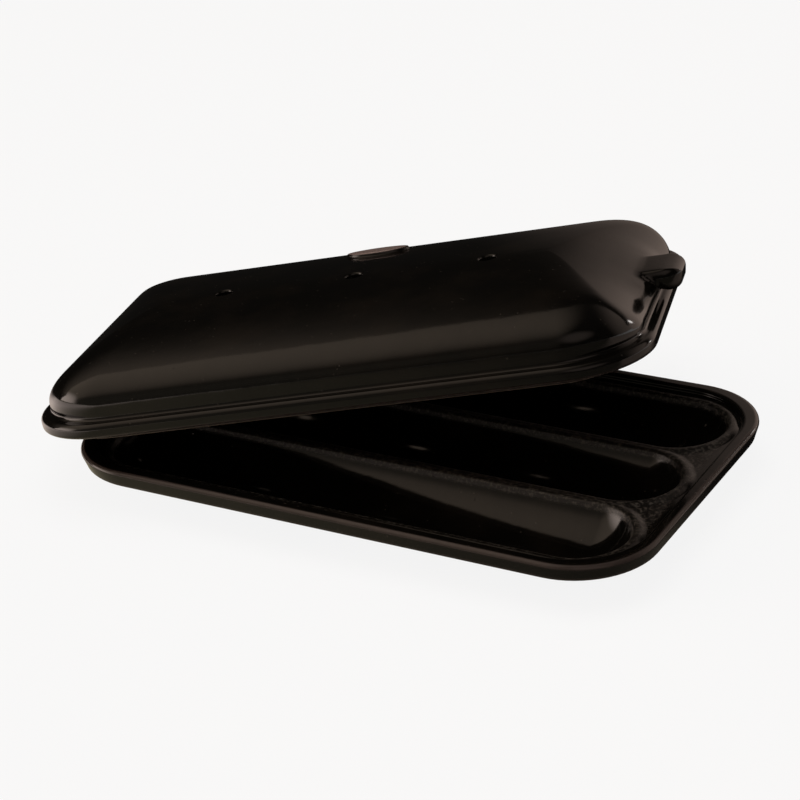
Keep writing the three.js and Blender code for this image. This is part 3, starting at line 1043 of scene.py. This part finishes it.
def card_behind(studio):
    """A dark card behind the baker, warm grey towards the right, with a small bright spot on it."""
    width, height, behind = 3.2, 0.56, 0.42
    warm_across, warm_up = (0.05, 0.58), (0.0, 0.20)
    faint_across, faint_up = (-0.42, 0.10), (-0.06, 0.28)
    spot_across, spot_up, spot_fade = 0.93, 0.03, (0.04, 0.10)
    away = -bearing(math.degrees(studio.azimuth), 0)
    middle = Vector((studio.target[0], studio.target[1], height / 2)) + away * behind
    upright = Matrix.Rotation(studio.azimuth, 4, "Z") @ Matrix.Rotation(math.pi / 2, 4, "X")
    finish, across, up = reflection_card("card_behind", Matrix.Translation(middle) @ upright, width, height)
    faint = (1 - across.ramp(*faint_across)) * up.ramp(*faint_up)
    tone = finish.mix(faint, CARD_DARK, CARD_FAINT)
    warm = across.ramp(*warm_across) * (1 - up.ramp(*warm_up))
    tone = finish.mix(warm, tone, CARD_WARM)
    spot = 1 - (across - spot_across).diagonal(up - spot_up).ramp(*spot_fade)
    finish.close(finish.glow(finish.mix(spot, tone, CARD_SPOT)))


def card_below():
    """A dim card on the floor, as a dark table: lighter at the left front, warm grey at the right back."""
    width, depth, front, lift = 44.0, 22.0, -10.25, 0.0005
    left_to_right, behind, warm_across = (-0.40, 0.30), (-0.10, 0.06), (0.20, 0.42)
    bright_from, bright_to = (-1.4, -0.9), (-0.38, -0.20)
    finish, across, along = reflection_card("card_below", Matrix.Translation((0, front, lift)), width, depth)
    tone = finish.mix(across.ramp(*left_to_right), TABLE_LEFT, TABLE_RIGHT)
    near_left = across.ramp(*bright_from) * (1 - across.ramp(*bright_to))
    tone = finish.mix(near_left, tone, TABLE_BRIGHT)
    back_tone = finish.mix(across.ramp(*warm_across), TABLE_DARK, TABLE_WARM)
    tone = finish.mix((along + front).ramp(*behind), tone, back_tone)
    finish.close(finish.glow(tone))


def lamp_above(studio):
    """A soft lamp over the baker that lights it and the floor and doesn't mirror in the glaze."""
    height, width, watts = 1.9, 1.4, 12.0
    place = (studio.target[0], studio.target[1], height)
    lamp = add(bpy.ops.object.light_add, "lamp_above", type="AREA", location=place)
    lamp.data.size = width
    lamp.data.energy = watts
    lamp.visible_glossy = False


def studio_camera(studio):
    """The camera, turned about its own line of sight as well as round the object."""
    roll = studio.roll
    back = bearing(math.degrees(studio.azimuth), math.degrees(studio.elevation))
    right = Vector((math.cos(studio.azimuth), math.sin(studio.azimuth), 0))
    up = back.cross(right)
    right, up = right * math.cos(roll) + up * math.sin(roll), up * math.cos(roll) - right * math.sin(roll)
    turned = Matrix((right, up, back)).transposed().to_4x4()
    camera = add(bpy.ops.object.camera_add, "studio_camera")
    camera.matrix_world = Matrix.Translation(Vector(studio.target) + back * studio.distance) @ turned
    camera.data.lens = studio.lens
    camera.data.clip_end = CAMERA_RANGE
    bpy.context.scene.camera = camera


class BAKER_OT_tray(bpy.types.Operator):
    """Models the tray with its rim, deck and troughs, and glazes it"""

    bl_idname = "baker.tray"
    bl_label = "Tray"

    def execute(self, context):
        scene = context.scene
        piece = model_tray(scene.baker_outline, scene.baker_tray)
        material = tray_glaze(scene.baker_colours, scene.baker_outline, scene.baker_tray)
        finish_piece(piece, "tray", "tray", material)
        return {"FINISHED"}


class BAKER_OT_lid(bpy.types.Operator):
    """Models the lid with its flange, dome, lug, vents and pad, and glazes it"""

    bl_idname = "baker.lid"
    bl_label = "Lid"

    def execute(self, context):
        scene = context.scene
        piece = model_lid(scene.baker_outline, scene.baker_tray, scene.baker_lid)
        material = lid_glaze(scene.baker_colours, scene.baker_outline, scene.baker_lid)
        finish_piece(piece, "lid", "lid", material)
        return {"FINISHED"}


class BAKER_OT_studio(bpy.types.Operator):
    """Sets up the camera, the floor, the room's light and the cards that the glaze reflects"""

    bl_idname = "baker.studio"
    bl_label = "Studio"

    def execute(self, context):
        studio = context.scene.baker_studio
        studio_camera(studio)
        studio_floor(studio)
        studio_world()
        lamp_above(studio)
        card_behind(studio)
        card_below()
        context.scene.view_settings.view_transform = "Standard"
        return {"FINISHED"}


class BAKER_PT_panel(bpy.types.Panel):
    """Lists the baker's pieces and their sizes"""

    bl_idname = "BAKER_PT_panel"
    bl_label = "Bread baker"
    bl_space_type = "VIEW_3D"
    bl_region_type = "UI"
    bl_category = "Baker"

    def draw(self, context):
        for operator in OPERATORS:
            self.layout.operator(operator.bl_idname)
        for name, group in GROUPS.items():
            box = self.layout.box()
            box.label(text=name)
            settings = getattr(context.scene, name)
            for key in group.__annotations__:
                box.prop(settings, key)


GROUPS = {
    "baker_outline": BakerOutline,
    "baker_tray": TraySizes,
    "baker_lid": LidSizes,
    "baker_colours": GlazeColours,
    "baker_studio": StudioSetup,
}
OPERATORS = (BAKER_OT_tray, BAKER_OT_lid, BAKER_OT_studio)


def register():
    for group in GROUPS.values():
        bpy.utils.register_class(group)
    for name, group in GROUPS.items():
        setattr(bpy.types.Scene, name, PointerProperty(type=group))
    for operator in OPERATORS:
        bpy.utils.register_class(operator)
    bpy.utils.register_class(BAKER_PT_panel)


def unregister():
    bpy.utils.unregister_class(BAKER_PT_panel)
    for operator in reversed(OPERATORS):
        bpy.utils.unregister_class(operator)
    for name, group in GROUPS.items():
        delattr(bpy.types.Scene, name)
        bpy.utils.unregister_class(group)


def main():
    register()
    bpy.ops.baker.tray()
    bpy.ops.baker.lid()
    bpy.ops.baker.studio()


if __name__ == "__main__":
    main()
